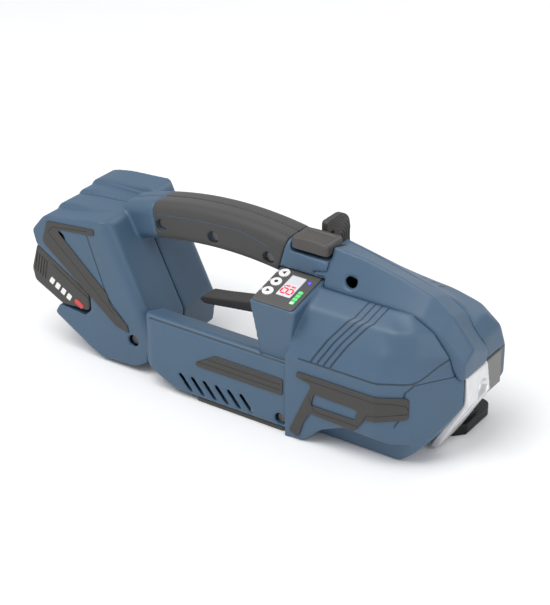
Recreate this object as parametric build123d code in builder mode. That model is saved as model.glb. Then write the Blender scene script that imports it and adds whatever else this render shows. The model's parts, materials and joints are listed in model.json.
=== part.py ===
from build123d import *
import math
import os

os.makedirs("parts", exist_ok=True)

# ---------------------------------------------------------------------------
# Battery strapping tool. Millimetres. +X is the nose, +Z is up, -Y is the side
# with the control panel. Z = 0 is the surface that the tool rests on and
# Y = 0 is the joint plane of the two clamshell halves.
# ---------------------------------------------------------------------------

# Rear block (battery housing)
block_half = 44.0
block_rear_x = -185.5
block_top_z = 122.0
block_front_x = -110.0
block_foot_x = -70.5
block_corner = 9.0
battery_angle = 30.0
battery_x = -181.5
battery_z = 84.7
battery_depth = 66.4
stem_half = 34.0
stem_rise = 15.0
cell_radius = 9.1
cell_length = 65.0

# Handle
handle_half = 17.0
handle_rear_x = -116.0
handle_front_x = 72.0
handle_mid_x = -16.5
handle_top_z = 142.5
handle_height = 32.0
handle_end_drop = 13.0
grip_rear_x = -89.0
grip_front_x = 35.0
grip_wall = 3.0

# Belly (motor housing)
belly_half = 54.0
belly_rear_x = -66.0
belly_front_x = 76.0
belly_top_z = 61.0
belly_far_y = -15.0
belly_bottom_z = 4.0
belly_corner = 12.0

# Head
head_half = 56.0
far_half = 50.0
head_rear_x = 62.0
nose_x = 187.0
nose_near_y = -13.0
nose_far_y = 46.0
belt_z = 69.0
swell_z = 86.0
dome_z = 102.0
dome_top_z = 111.0
spine_near_y = -20.0
spine_far_y = 15.0
spine_ridge_y = -8.0

# Walls, fits and fasteners
wall = 2.6
fit = 0.3
running = 0.06
boss_radius = 5.0
screw_radius = 2.0
screw_head_radius = 3.6
recess_radius = 4.8
inlay = 1.2

# Cooling slots
vent_x = -38.0
vent_pitch = 11.2
vent_count = 6

# Thumb button
button_rear_x = 39.5
button_front_x = 71.5
button_near_y = -16.0
button_far_y = 6.0
button_z = 132.0
button_height = 8.5
button_travel = 2.5

# Control box
box_rear_x = 30.4
box_front_x = 70.0
box_near_y = -55.0
box_far_y = -9.0
panel_near_z = 103.0
panel_far_z = 114.0
panel_thickness = 1.2
key_radius = 4.4
display_place = (14.2, 26.7, 12.7, 36.1)
gauge_place = (29.0, 32.8, 7.2, 22.5)
lamp_place = (30.8, 32.8)
nose_far_edge = 17.0

# Levers
lever_x = 86.0
lever_z = 72.0
lever_half = 8.0
lever_hub_radius = 6.0
lever_pin_radius = 3.0
paddle_x = 79.0
paddle_y = 25.0
paddle_z = 109.0
paddle_rear_x = 50.0
paddle_thickness = 5.5
paddle_tongue_z = 136.5
paddle_drop = 4.5
paddle_pin_radius = 2.5

# Drive train
motor_y = -34.5
motor_z = 33.0
motor_radius = 15.5
motor_rear_x = -36.0
motor_front_x = 28.0
shaft_radius = 4.0
cross_x = 92.0
cross_shaft_radius = 5.0
crown_radius = 22.0
drive_gear_radius = 9.0
feed_gear_radius = 22.0
gear_gap = 0.5
feed_wheel_radius = 19.0
strap_y = 29.5
strap_width = 20.0
weld_x = 158.0
weld_z = 41.0
pulley_radius = 8.0
belt_thickness = 1.6
sole_z = 9.0
sole_far_y = 60.0
strap_mouth_z = 15.0
guard_near_y = -40.0
gripper_thickness = 1.5
feed_x = cross_x + drive_gear_radius + feed_gear_radius + gear_gap


def side_face(points, radii):
    """A closed outline in the XZ plane with one corner radius per point."""
    with BuildSketch(Plane.XZ) as face:
        with BuildLine():
            FilletPolyline(*points, radius=radii, close=True)
        make_face()
    return face.sketch


def inner_face(points, inset):
    """A closed sharp-cornered outline in the XZ plane, moved inwards, or outwards if negative."""
    with BuildSketch(Plane.XZ) as face:
        with BuildLine():
            Polyline(*points, close=True)
        make_face()
        if inset != 0:
            offset(amount=-inset, kind=Kind.INTERSECTION)
    return face.sketch


def along_y(x, z, radius, near_y, far_y):
    """A round bar parallel to Y, between two Y values."""
    with BuildPart() as bar:
        with BuildSketch(Plane.XZ.offset(-far_y)):
            with Locations((x, z)):
                Circle(radius)
        extrude(amount=far_y - near_y)
    return bar.part


def along_x(y, z, radius, rear_x, front_x):
    """A round bar parallel to X, between two X values."""
    with BuildPart() as bar:
        with BuildSketch(Plane.YZ.offset(rear_x)):
            with Locations((y, z)):
                Circle(radius)
        extrude(amount=front_x - rear_x)
    return bar.part


def slab(face, near_y, far_y):
    """An XZ outline as a slab between two Y values."""
    with BuildPart() as solid:
        extrude(Pos(0, far_y, 0) * face, amount=far_y - near_y)
    return solid.part


def box(x0, x1, y0, y1, z0, z1):
    """A rectangular block between two corners."""
    with BuildPart() as solid:
        with BuildSketch(Plane.XY.offset(z0)):
            with Locations(((x0 + x1) / 2, (y0 + y1) / 2)):
                Rectangle(x1 - x0, y1 - y0)
        extrude(amount=z1 - z0)
    return solid.part


def save(builder, name):
    """Labels a finished piece and writes its STEP file."""
    builder.part.label = name
    export_step(builder.part, "parts/" + name + ".step")


def stack(sections):
    """A ruled loft through level outlines, each given as (height, points)."""
    with BuildPart() as solid:
        for height, points in sections:
            with BuildSketch(Plane.XY.offset(height)):
                with BuildLine():
                    Polyline(*points, close=True)
                make_face()
        loft(ruled=True)
    return solid.part


def battery_point(along, across):
    """A point in the XZ plane, in the sliding direction of the battery."""
    cosine, sine = math.cos(math.radians(battery_angle)), math.sin(math.radians(battery_angle))
    return (battery_x + along * cosine - across * sine, battery_z - along * sine - across * cosine)


# ---------------------------------------------------------------------------
# Shared outer and inner forms of the clamshell halves
# ---------------------------------------------------------------------------

block_points = [
    (block_front_x, block_top_z), (block_rear_x + 12.5, block_top_z - 10),
    (block_rear_x, block_top_z - 25), battery_point(-0.5, -fit),
    battery_point(battery_depth - 7, -fit), battery_point(battery_depth + fit, 11),
    (-136, 35.3), (-161.3, 38), (-166.7, 29.5), (-131, 8), (-119, 2.6), (-87, 4.5),
    (block_foot_x - 4.3, 11.3), (block_foot_x, 42),
]
block_radii = [8, 8, 5, 1.5, 4, 3, 2, 2, 3, 6, 8, 8, 5, 12]
block_face = side_face(block_points, block_radii)

front_slope = Plane(origin=(block_foot_x, 0, 42), x_dir=(0, 1, 0),
                    z_dir=(block_foot_x - block_front_x, 0, 42 - block_top_z))
block_length = block_front_x - block_rear_x + 80

with BuildPart() as block_outer:
    add(slab(block_face, -block_half, block_half))
    with BuildSketch(front_slope) as rounded_front:
        with Locations((0, -block_length / 2)):
            RectangleRounded(2 * block_half, block_length, block_corner)
    extrude(rounded_front.sketch, amount=2 * block_length, both=True, mode=Mode.INTERSECT)

block_room = slab(inner_face(block_points, wall), wall - block_half, block_half - wall)

stem_points = [
    battery_point(-40, 1), battery_point(-40, -stem_rise - fit),
    battery_point(battery_depth + fit, -stem_rise - fit), battery_point(battery_depth + fit, 1),
]
stem_room = slab(side_face(stem_points, [0.5] * 4), -stem_half - fit, stem_half + fit)

belly_points = [
    (belly_rear_x - 6, belly_top_z), (belly_rear_x - 6, 20), (belly_rear_x + 14, 10),
    (belly_rear_x + 28, belly_bottom_z), (belly_front_x, belly_bottom_z), (belly_front_x, belly_top_z),
]


belly_section = [
    (-belly_half, belly_bottom_z), (-belly_half, belly_top_z - 4), (5 - belly_half, belly_top_z),
    (belly_far_y - 12, belly_top_z - 7), (belly_far_y, belly_top_z - 19), (belly_far_y, belly_bottom_z),
]


def belly(inset):
    """The motor housing on the near side, moved inwards by a wall."""
    with BuildPart() as solid:
        add(slab(inner_face(belly_points, inset), -belly_half, 0))
        with BuildSketch(Plane.YZ.offset(belly_rear_x - 10)) as section:
            with BuildLine():
                Polyline(*belly_section, close=True)
            make_face()
            if inset > 0:
                offset(amount=-inset, kind=Kind.INTERSECTION)
            else:
                fillet(section.vertices(), radius=3)
        extrude(section.sketch, amount=200, mode=Mode.INTERSECT)
        with BuildSketch(Plane.XY) as plan:
            with Locations(((belly_rear_x + belly_front_x) / 2 + 7, 0)):
                RectangleRounded(belly_front_x - belly_rear_x + 26 - 2 * inset,
                                 2 * (belly_half - inset), belly_corner - inset)
        extrude(plan.sketch, amount=belly_top_z, mode=Mode.INTERSECT)
    return solid.part


def handle(inset, half, rear_x, front_x):
    """The arched grip between two X values, moved inwards by a wall."""
    rear_z = handle_top_z - handle_end_drop
    low = handle_height - 2 * inset
    with BuildPart() as solid:
        with BuildSketch(Plane.XZ) as side:
            with BuildLine():
                top = ThreePointArc((handle_rear_x, rear_z - 3 - inset),
                                    (handle_mid_x, handle_top_z - inset),
                                    (handle_front_x, rear_z - inset))
                low_arc = ThreePointArc((handle_rear_x, rear_z - 3 - inset - low),
                                        (handle_mid_x, handle_top_z - inset - low),
                                        (handle_front_x, rear_z - inset - low))
                Line(top @ 0, low_arc @ 0)
                Line(top @ 1, low_arc @ 1)
            make_face()
        extrude(side.sketch, amount=half, both=True)
        fillet(solid.edges().filter_by(GeomType.CIRCLE), radius=half * 0.5)
        add(box(rear_x, front_x, -half - 1, half + 1, 60, 160), mode=Mode.INTERSECT)
    return solid.part


def near_head(inset):
    """The near half of the head above and below the belt line, moved inwards."""
    side, front, top = head_half - inset, nose_x - inset, belt_z
    near_y = nose_near_y - 2 + inset
    skirt = [(head_rear_x + inset, -side), (138 - inset / 2, -side), (160 - inset, inset - 43),
             (front, near_y), (front, 0), (head_rear_x + inset, 0)]
    swell = [(head_rear_x + inset, inset - 48), (139 - inset / 2, inset - 48), (159 - inset, inset - 38),
             (180 - inset, inset - 18), (181 - inset, 0), (head_rear_x + inset, 0)]
    shoulder = [(head_rear_x + inset, inset - 38), (141 - inset / 2, inset - 38), (154 - inset, inset - 31),
                (167 - inset, inset - 17), (168 - inset, 0), (head_rear_x + inset, 0)]
    crown = [(head_rear_x + inset, inset - 21), (143 - inset, inset - 21), (147 - inset, inset - 18),
             (151 - inset, inset - 15), (151 - inset, 0), (head_rear_x + inset, 0)]
    outer_limit = slab(inner_face(head_points, inset), -head_half - 5, guard_near_y + inset)
    guard_limit = slab(inner_face(guard_points, inset), guard_near_y + inset, 0)
    with BuildPart() as solid:
        add(stack([(0, skirt), (top, skirt)]))
        add(stack([(top, skirt), (swell_z - inset, swell), (dome_z - inset, shoulder),
                   (dome_top_z - inset, crown)]))
        add(outer_limit + guard_limit, mode=Mode.INTERSECT)
    return solid.part


def far_head(inset):
    """The far half of the head, whose roof falls away from the spine."""
    side, rear = far_half - inset, head_rear_x + inset

    def level(side_drop, bend_x, bend_y, corner_x, corner_y, front_x, front_y):
        """One level outline: along the far side, round the corner and back to the joint plane."""
        return [(rear, 0), (rear, side - side_drop), (bend_x - inset, bend_y - inset),
                (corner_x - inset, corner_y - inset), (front_x - inset, front_y - inset),
                (front_x - inset + 0.5, 0)]

    skirt = level(0, 170, 50, 181, 49, nose_x, nose_far_y)
    with BuildPart() as solid:
        add(stack([(0, skirt), (belt_z, skirt)]))
        add(stack([(belt_z, skirt), (swell_z - inset, level(0.5, 165, 49, 177, 47, 184, 42)),
                   (97 - inset, level(1, 150, 48.5, 165, 46, 176, 34)),
                   (dome_z + 1 - inset, level(1.5, 112, 48, 146, 44, 166, 24))]))
        add(stack([(dome_z + 1 - inset, level(1.5, 112, 48, 146, 44, 166, 24)),
                   (112 - inset, level(4, 80, 43, 124, 31, 156, 16)),
                   (128 - inset, level(24, 70, 24, 90, 18, 97, 15))]))
        add(slab(inner_face(far_head_points, inset), 0, head_half), mode=Mode.INTERSECT)
    return solid.part


head_points = [
    (head_rear_x, 0), (head_rear_x + 16, 0), (92, 14), (112, 23), (138, 22), (147, 18), (168, 18),
    (nose_x, 46), (nose_x, 160), (head_rear_x, 160),
]

guard_points = [
    (head_rear_x, 0), (150, 0.5), (160, 9), (170, 20), (nose_x, 46), (nose_x, 160), (head_rear_x, 160),
]

far_head_points = [
    (head_rear_x, strap_mouth_z), (168, strap_mouth_z), (nose_x, 46), (nose_x, 160), (head_rear_x, 160),
]

spine_foot = [(nose_x + 1, belt_z), (nose_x - 4, belt_z), (176, 78), (165, 89), (154, 98), (141, 103),
              (97, 105), (60, 105)]
spine_near_line = [(60, 111), (72, 112), (100, 111.5), (127, 110.5), (152, 108), (169, 99), (nose_x + 1, 83)]
spine_ridge_line = [(60, 132), (73, 138), (100, 135.5), (127, 130), (154, 122), (171, 110),
                    (nose_x + 2, 90)]
spine_far_line = [(60, 130), (74, 131.5), (100, 126.5), (127, 119.5), (154, 113.5), (169, 104),
                  (nose_x + 1.5, 79)]


def across(sections):
    """A ruled loft through upright outlines, each given as (Y, points in XZ)."""
    with BuildPart() as solid:
        for y, points in sections:
            with BuildSketch(Plane.XZ.offset(-y)):
                with BuildLine():
                    Polyline(*points, close=True)
                make_face()
        loft(ruled=True)
    return solid.part


def lowered(line, drop, low):
    """The inner outline under a roof line, open downwards."""
    return [(x, z - drop) for x, z in line[1:-1]] + [(line[-2][0], low), (line[1][0], low)]


spine_solid = across([(spine_near_y, spine_near_line + spine_foot),
                      (spine_ridge_y, spine_ridge_line + spine_foot)])
spine_solid += across([(spine_ridge_y, spine_ridge_line + spine_foot),
                       (spine_far_y, spine_far_line + spine_foot)])
spine_solid -= box(59, box_front_x + fit, spine_near_y - 1, -handle_half, 0, 150)
spine_solid -= box(59, box_front_x + fit, -handle_half - 1, box_far_y + 1, 0, panel_far_z + 2)
spine_mid_line = [(near[0], (near[1] + ridge[1]) / 2)
                  for near, ridge in zip(spine_near_line, spine_ridge_line)]
spine_room = across([((spine_near_y + spine_ridge_y) / 2, lowered(spine_mid_line, 2.4 * wall, 84)),
                     (spine_ridge_y, lowered(spine_ridge_line, 1.5 * wall, 84))])
spine_room += across([(spine_ridge_y, lowered(spine_ridge_line, 1.5 * wall, 84)),
                      (spine_far_y - wall, lowered(spine_far_line, 1.3 * wall, 84))])


def control_box(inset):
    """The raised box under the control panel, which narrows to a neck."""
    slope = math.degrees(math.atan2(panel_far_z - panel_near_z, box_far_y - box_near_y))
    top = Plane(origin=(0, box_near_y, panel_near_z), x_dir=(1, 0, 0), z_dir=(0, 0, 1)).rotated((slope, 0, 0))
    middle_x = (box_rear_x + box_front_x) / 2
    middle_y = (box_far_y - box_near_y) / 2
    width, depth = box_front_x - box_rear_x, box_far_y - box_near_y
    with BuildPart() as solid:
        with BuildSketch(Plane.XY.offset(belly_top_z - 4)):
            with Locations((middle_x - 2, box_near_y + middle_y + 2)):
                Rectangle(width * 0.58 - 2 * inset, depth - 6 - 2 * inset)
        with BuildSketch(top.offset(-inset)):
            with Locations((middle_x, middle_y)):
                Rectangle(width - 2 * inset, depth - 2 * inset)
        loft(ruled=True)
    return solid.part


key_x = 7.4
key_places = (13.3, 24.6, 35.6)


def panel_plane(lift):
    """The sloping plane of the control panel, origin at its rear near corner."""
    slope = math.degrees(math.atan2(panel_far_z - panel_near_z, box_far_y - box_near_y))
    corner = Plane(origin=(box_rear_x, box_near_y, panel_near_z), x_dir=(1, 0, 0), z_dir=(0, 0, 1))
    return corner.rotated((slope, 0, 0)).offset(lift)


def panel_block(x0, x1, y0, y1, low, high, corner):
    """A rounded block on the panel, in the panel's own directions."""
    with BuildPart() as solid:
        with BuildSketch(panel_plane(low)):
            with Locations(((x0 + x1) / 2, (y0 + y1) / 2)):
                RectangleRounded(x1 - x0, y1 - y0, corner)
        extrude(amount=high - low)
    return solid.part


def panel_disc(along, across, radius, low, high):
    """A round piece on the panel, in the panel's own directions."""
    with BuildPart() as solid:
        with BuildSketch(panel_plane(low)):
            with Locations((along, across)):
                Circle(radius)
        extrude(amount=high - low)
    return solid.part


# ---------------------------------------------------------------------------
# Clamshell halves: rear block, handle core and belly in one moulding
# ---------------------------------------------------------------------------

shell_split = 0.05
screw_places = [
    (block_rear_x + 28, 97, block_half, block_half), (-88, 27, block_half, block_half),
    (56, 10.5, belly_half, belly_far_y), (block_front_x + 31.5, 118, handle_half, handle_half),
    (-29.5, 121, handle_half, handle_half), (20.5, 118, handle_half, handle_half),
]
handle_core = handle(grip_wall, handle_half - grip_wall, handle_rear_x, handle_front_x)
handle_ends = handle(0, handle_half, handle_rear_x, handle_front_x)
grip_room = slab(side_face([(grip_rear_x, 150), (grip_rear_x + 8, 100), (grip_front_x - 9, 100),
                            (grip_front_x + 5, 150)], [0.5] * 4), -30, 30)
belly_outer, belly_room = belly(0), belly(wall)
handle_channel = handle(grip_wall + wall + 6, 5, handle_rear_x, handle_front_x)
box_outer, box_room = control_box(0), control_box(wall)


near_head_outer, near_head_room = near_head(0), near_head(wall)
far_head_outer, far_head_room = far_head(0), far_head(wall)
button_well = box(button_rear_x - fit, button_front_x + fit, button_near_y - fit, button_far_y + fit,
                  button_z - button_travel - 1, 160)
switch_room = box(50 - fit, head_rear_x, -9 - fit, 1, button_z - button_travel - 8, button_z)
panel_air = panel_block(-0.3, box_front_x - box_rear_x + 0.3, 0, 38, 0, 25, 1) + panel_block(
    -0.3, box_front_x - box_rear_x + 0.3, 30, 48, 0, panel_thickness + 0.8, 1)
paddle_room = box(paddle_rear_x - 7, head_rear_x, 8, 45, paddle_tongue_z - paddle_drop, 150) + box(
    paddle_rear_x - 7, head_rear_x, handle_half + 0.5, 45, 100, 150)
shaft_hole = along_x(motor_y, motor_z, 12, head_rear_x - 2, head_rear_x + wall + 2)
head_room = box(head_rear_x, belly_front_x + 1, guard_near_y, belly_half + 1, 0, belly_top_z + 1)
near_side = box(-220, 200, -80, -shell_split / 2, -5, 200)
far_side = box(-220, 200, shell_split / 2, 80, -5, 200)


def vent(number):
    """One slanted cooling slot in the near wall of the belly."""
    start = vent_x + number * vent_pitch
    points = [(start, 20), (start + 3.4, 20), (start + 15.4, 6), (start + 12, 6)]
    return slab(side_face(points, [1] * 4), -belly_half - 1, wall + 1 - belly_half)


def screw_line(x, z, near_reach, far_reach):
    """Clearance for one housing screw: head recess and shank."""
    with BuildPart() as cut:
        add(along_y(x, z, recess_radius, -near_reach - 1, wall + 4 - near_reach))
        add(along_y(x, z, screw_radius + 0.1, -near_reach, far_reach - wall - 4))
    return cut.part


def housing_half(near):
    """One clamshell half, with its rooms, bosses, vents and screw holes."""
    side = near_side if near else far_side
    with BuildPart() as half:
        add(block_outer)
        add(belly_outer)
        add(handle_core)
        add(handle_ends - grip_room)
        add(block_room, mode=Mode.SUBTRACT)
        add(belly_room, mode=Mode.SUBTRACT)
        add(handle_channel, mode=Mode.SUBTRACT)
        for x, z, near_reach, far_reach in screw_places:
            if near_reach > handle_half:
                add(along_y(x, z, boss_radius, 1 - near_reach, far_reach - 1))
        add(stem_room, mode=Mode.SUBTRACT)
        for place in screw_places:
            add(screw_line(*place), mode=Mode.SUBTRACT)
        for neighbour in (near_head_outer, far_head_outer, head_room, box_outer, spine_solid,
                          button_well, switch_room, panel_air, paddle_room):
            add(neighbour, mode=Mode.SUBTRACT)
        if near:
            for number in range(vent_count):
                add(vent(number), mode=Mode.SUBTRACT)
        add(side, mode=Mode.INTERSECT)
    return half.part


with BuildPart() as near_housing:
    add(housing_half(True))
save(near_housing, "near_housing")

with BuildPart() as far_housing:
    add(housing_half(False))
save(far_housing, "far_housing")


# ---------------------------------------------------------------------------
# Head covers, spine and trims
# ---------------------------------------------------------------------------

lever_window = box(head_rear_x - 1, head_rear_x + wall + 1, -10, 10, 60, 84)
paddle_window = box(head_rear_x - 1, head_rear_x + wall + 1, paddle_y - 7.5, paddle_y + 7.5,
                    paddle_z - 9, paddle_z + 9)
nose_points = [
    (nose_x - 4, belt_z), (nose_x + 0.5, belt_z), (nose_x + 3.5, 47), (166, 4), (160, 4), (nose_x - 5, 45),
]
nose_block = slab(side_face(nose_points, [0.5, 0.5, 3, 1, 1, 3]), nose_near_y - 0.5, nose_far_edge)
insert_block = box(nose_x - 2, nose_x + 0.6, nose_far_edge, nose_far_edge + 21, 42, belt_z)

with BuildPart() as near_head_cover:
    add(near_head_outer)
    add(box_outer)
    add(near_head_room, mode=Mode.SUBTRACT)
    add(box_room, mode=Mode.SUBTRACT)
    add(panel_air, mode=Mode.SUBTRACT)
    add(shaft_hole, mode=Mode.SUBTRACT)
    add(spine_solid, mode=Mode.SUBTRACT)
    add(lever_window, mode=Mode.SUBTRACT)
    add(nose_block, mode=Mode.SUBTRACT)
    add(button_well, mode=Mode.SUBTRACT)
    for key_y in key_places:
        add(panel_disc(key_x, key_y, key_radius - 1, -wall - 2, 1), mode=Mode.SUBTRACT)
    add(panel_block(*display_place, -wall - 2, 1, 1), mode=Mode.SUBTRACT)
    add(near_side, mode=Mode.INTERSECT)
save(near_head_cover, "near_head_cover")

with BuildPart() as far_head_cover:
    add(far_head_outer)
    add(far_head_room, mode=Mode.SUBTRACT)
    add(shaft_hole, mode=Mode.SUBTRACT)
    add(box(head_rear_x + wall, 172, -1, far_half - wall, 0, 24), mode=Mode.SUBTRACT)
    add(spine_solid, mode=Mode.SUBTRACT)
    add(lever_window, mode=Mode.SUBTRACT)
    add(paddle_window, mode=Mode.SUBTRACT)
    add(nose_block, mode=Mode.SUBTRACT)
    add(insert_block, mode=Mode.SUBTRACT)
    add(button_well, mode=Mode.SUBTRACT)
    add(far_side, mode=Mode.INTERSECT)
save(far_head_cover, "far_head_cover")

with BuildPart() as spine_cover:
    add(spine_solid)
    add(spine_room, mode=Mode.SUBTRACT)
    add(along_y(92, 118.5, recess_radius, spine_near_y - 1, spine_near_y + 2.5 * wall), mode=Mode.SUBTRACT)
    add(button_well, mode=Mode.SUBTRACT)
    add(switch_room, mode=Mode.SUBTRACT)
save(spine_cover, "spine_cover")

grip_outer = handle_ends & grip_room
for grip_name, grip_side in (("near_grip", near_side), ("far_grip", far_side)):
    with BuildPart() as grip:
        add(grip_outer)
        add(handle_core, mode=Mode.SUBTRACT)
        add(panel_air, mode=Mode.SUBTRACT)
        for x, z, near_reach, far_reach in screw_places:
            if near_reach == handle_half:
                add(along_y(x, z, recess_radius, -near_reach - 1, far_reach + 1), mode=Mode.SUBTRACT)
        add(grip_side, mode=Mode.INTERSECT)
    save(grip, grip_name)

with BuildPart() as side_bumper:
    bumper_points = [
        (72.5, 58), (159, 58), (159, 40.5), (130.5, 37), (122, 25), (84, 27), (78.5, 16.5),
        (74.5, 3), (66, 7), (85.5, 51), (72, 53.5),
    ]
    window_points = [(87.5, 44), (124.5, 43), (121.5, 34), (85, 34)]
    add(near_head(-inlay))
    add(near_head_outer, mode=Mode.SUBTRACT)
    add(slab(side_face(bumper_points, [1, 3, 3, 4, 3, 3, 4, 2, 2, 3, 1]), -head_half - 4, -24),
        mode=Mode.INTERSECT)
    add(slab(side_face(window_points, [2] * 4), -70, -24), mode=Mode.SUBTRACT)
save(side_bumper, "side_bumper")

trim_points = [
    (-169, 109), (-122, 113.5), (-122, 108), (-160, 104), (-112, 62), (-108, 52), (-92.5, 39.5),
    (-91, 33), (-104, 36), (-175, 90),
]
trim_face = side_face(trim_points, [3, 1.5, 1.5, 2, 2, 2, 2, 1, 2, 6])
for trim_name, trim_y in (("near_rear_trim", -block_half - 0.8), ("far_rear_trim", block_half)):
    with BuildPart() as rear_trim:
        add(slab(trim_face, trim_y, trim_y + 0.8))
    save(rear_trim, trim_name)

accent_points = [(-25, 32), (-2, 46), (59, 46), (59, 32)]
accent_face = side_face(accent_points, [2, 4, 2, 2])
with BuildPart() as belly_trim:
    add(slab(accent_face, -belly_half - 0.8, -belly_half))
save(belly_trim, "belly_trim")

with BuildPart() as skid_pad:
    with BuildSketch(Plane.XY):
        with Locations((18.5, (belly_far_y - belly_half) / 2)):
            RectangleRounded(82, belly_far_y + belly_half - 4, 4)
    extrude(amount=belly_bottom_z)
save(skid_pad, "skid_pad")


# ---------------------------------------------------------------------------
# Control panel
# ---------------------------------------------------------------------------

panel_width = box_front_x - box_rear_x
panel_depth = math.hypot(box_far_y - box_near_y, panel_far_z - panel_near_z)

with BuildPart() as panel_overlay:
    add(panel_block(1, panel_width - 3.5, 1, panel_depth - 1, 0, panel_thickness, 3))
    for key_y in key_places:
        add(panel_disc(key_x, key_y, key_radius + fit, -1, 3), mode=Mode.SUBTRACT)
    add(panel_block(*display_place, -1, 3, 1), mode=Mode.SUBTRACT)
    add(panel_block(*gauge_place, -1, 3, 1), mode=Mode.SUBTRACT)
    add(panel_disc(*lamp_place, 1.3, -1, 3), mode=Mode.SUBTRACT)
save(panel_overlay, "panel_overlay")

with BuildPart() as display:
    add(panel_block(*display_place, -wall - 1, panel_thickness, 1))
save(display, "display")

with BuildPart() as charge_gauge:
    add(panel_block(*gauge_place, 0, panel_thickness, 1))
save(charge_gauge, "charge_gauge")

with BuildPart() as status_lamp:
    add(panel_disc(*lamp_place, 1.3, 0, panel_thickness))
save(status_lamp, "status_lamp")

board_depth = wall + 4.5
with BuildPart() as control_board:
    add(panel_block(5, panel_width - 5, 5, panel_depth - 6, -board_depth - 1.6, -board_depth, 1))
    for key_y in key_places:
        add(panel_block(key_x - 2.5, key_x + 2.5, key_y - 2.5, key_y + 2.5,
                        -board_depth, -board_depth + 2, 0.5))
save(control_board, "control_board")

key_travel = 0.4
for number, key_y in enumerate(key_places, start=1):
    with BuildPart() as key:
        add(panel_disc(key_x, key_y, key_radius, key_travel + 0.1, panel_thickness + 0.6))
        add(panel_disc(key_x, key_y, key_radius - 1.5, -board_depth + 2.1 + key_travel, key_travel + 0.1))
    save(key, "key_%d" % number)

with BuildPart() as thumb_button:
    with BuildSketch(Plane.XY.offset(button_z)):
        with Locations(((button_rear_x + button_front_x) / 2, (button_near_y + button_far_y) / 2)):
            RectangleRounded(button_front_x - button_rear_x, button_far_y - button_near_y, 3)
    extrude(amount=button_height)
    fillet(thumb_button.faces().sort_by(Axis.Z)[-1].edges(), radius=2)
save(thumb_button, "thumb_button")

with BuildPart() as button_switch:
    switch_top = button_z - button_travel - 1
    add(box(50, 61, -9, -1, switch_top - 6, switch_top))
save(button_switch, "button_switch")

# ---------------------------------------------------------------------------
# Battery
# ---------------------------------------------------------------------------

battery_outline = [
    battery_point(0, 0), battery_point(5.4, 21.8), battery_point(12.6, 29.4), battery_point(42.5, 27.6),
    battery_point(battery_depth, 12.8), battery_point(battery_depth - 7.9, 0),
]
stem_outline = [
    battery_point(-10, 1), battery_point(-10, -stem_rise), battery_point(battery_depth - 4, -stem_rise),
    battery_point(battery_depth - 4, 1),
]
cell_places = [(20, 15), (40, 15), (20, -4), (40, -4)]

with BuildPart() as battery_case:
    add(slab(side_face(battery_outline, [0.5, 5, 5, 2, 4, 3]), -block_half, block_half))
    add(slab(side_face(stem_outline, [0.5, 4, 2, 0.5]), -stem_half, stem_half))
    for along, across in cell_places:
        x, z = battery_point(along, across)
        add(along_y(x, z, cell_radius + 0.1, -cell_length / 2 - 0.5, cell_length / 2 + 0.5),
            mode=Mode.SUBTRACT)
save(battery_case, "battery_case")

with BuildPart() as battery_cells:
    for along, across in cell_places:
        x, z = battery_point(along, across)
        add(along_y(x, z, cell_radius, -cell_length / 2, cell_length / 2))
save(battery_cells, "battery_cells")

with BuildPart() as contact_block:
    contact_outline = [
        battery_point(battery_depth + 1, -stem_rise + 1), battery_point(battery_depth + 1, -2),
        battery_point(battery_depth + 8, -2), battery_point(battery_depth + 8, -stem_rise + 1),
    ]
    add(slab(side_face(contact_outline, [1] * 4), -20, 20))
save(contact_block, "contact_block")

# ---------------------------------------------------------------------------
# Motor and drive
# ---------------------------------------------------------------------------

with BuildPart() as motor_can:
    add(along_x(motor_y, motor_z, motor_radius, motor_rear_x, motor_front_x))
    add(along_x(motor_y, motor_z, motor_radius - 2.5, motor_rear_x + 3, motor_front_x - 3),
        mode=Mode.SUBTRACT)
    add(along_x(motor_y, motor_z, shaft_radius + running, motor_rear_x - 1, motor_front_x + 1),
        mode=Mode.SUBTRACT)
save(motor_can, "motor_can")

with BuildPart() as motor_rotor:
    add(along_x(motor_y, motor_z, shaft_radius, motor_rear_x - 18, cross_x - 16))
    add(along_x(motor_y, motor_z, motor_radius - 5, motor_rear_x + 10, motor_front_x - 10))
save(motor_rotor, "motor_rotor")

fan_radius = motor_radius - 1
with BuildPart() as cooling_fan:
    add(along_x(motor_y, motor_z, 7, motor_rear_x - 16, motor_rear_x - 6))
    for blade in range(9):
        with BuildSketch(Plane.YZ.offset(motor_rear_x - 15)):
            with Locations((motor_y, motor_z)):
                with PolarLocations(0, 1, start_angle=blade * 40):
                    with Locations((fan_radius / 2, 0)):
                        Rectangle(fan_radius, 1.6)
        extrude(amount=8)
    add(along_x(motor_y, motor_z, shaft_radius, motor_rear_x - 20, motor_rear_x), mode=Mode.SUBTRACT)
save(cooling_fan, "cooling_fan")

pinion_front_x = cross_x - 16
pinion_radius = 6.0
with BuildPart() as bevel_pinion:
    add(along_x(motor_y, motor_z, pinion_radius, pinion_front_x - 12, pinion_front_x))
    add(along_x(motor_y, motor_z, shaft_radius, pinion_front_x - 13, pinion_front_x + 1), mode=Mode.SUBTRACT)
save(bevel_pinion, "bevel_pinion")

with BuildPart() as motor_mount:
    add(box(motor_front_x + 0.5, motor_front_x + 6.5, wall - belly_half, belly_far_y - 14,
            belly_bottom_z + wall, belly_top_z - 14))
    add(along_x(motor_y, motor_z, 11, motor_front_x, motor_front_x + 7), mode=Mode.SUBTRACT)
save(motor_mount, "motor_mount")

with BuildPart() as shaft_bearing:
    add(along_x(motor_y, motor_z, 11, motor_front_x + 0.5, motor_front_x + 6.5))
    add(along_x(motor_y, motor_z, shaft_radius + running, motor_front_x, motor_front_x + 7),
        mode=Mode.SUBTRACT)
save(shaft_bearing, "shaft_bearing")

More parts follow.
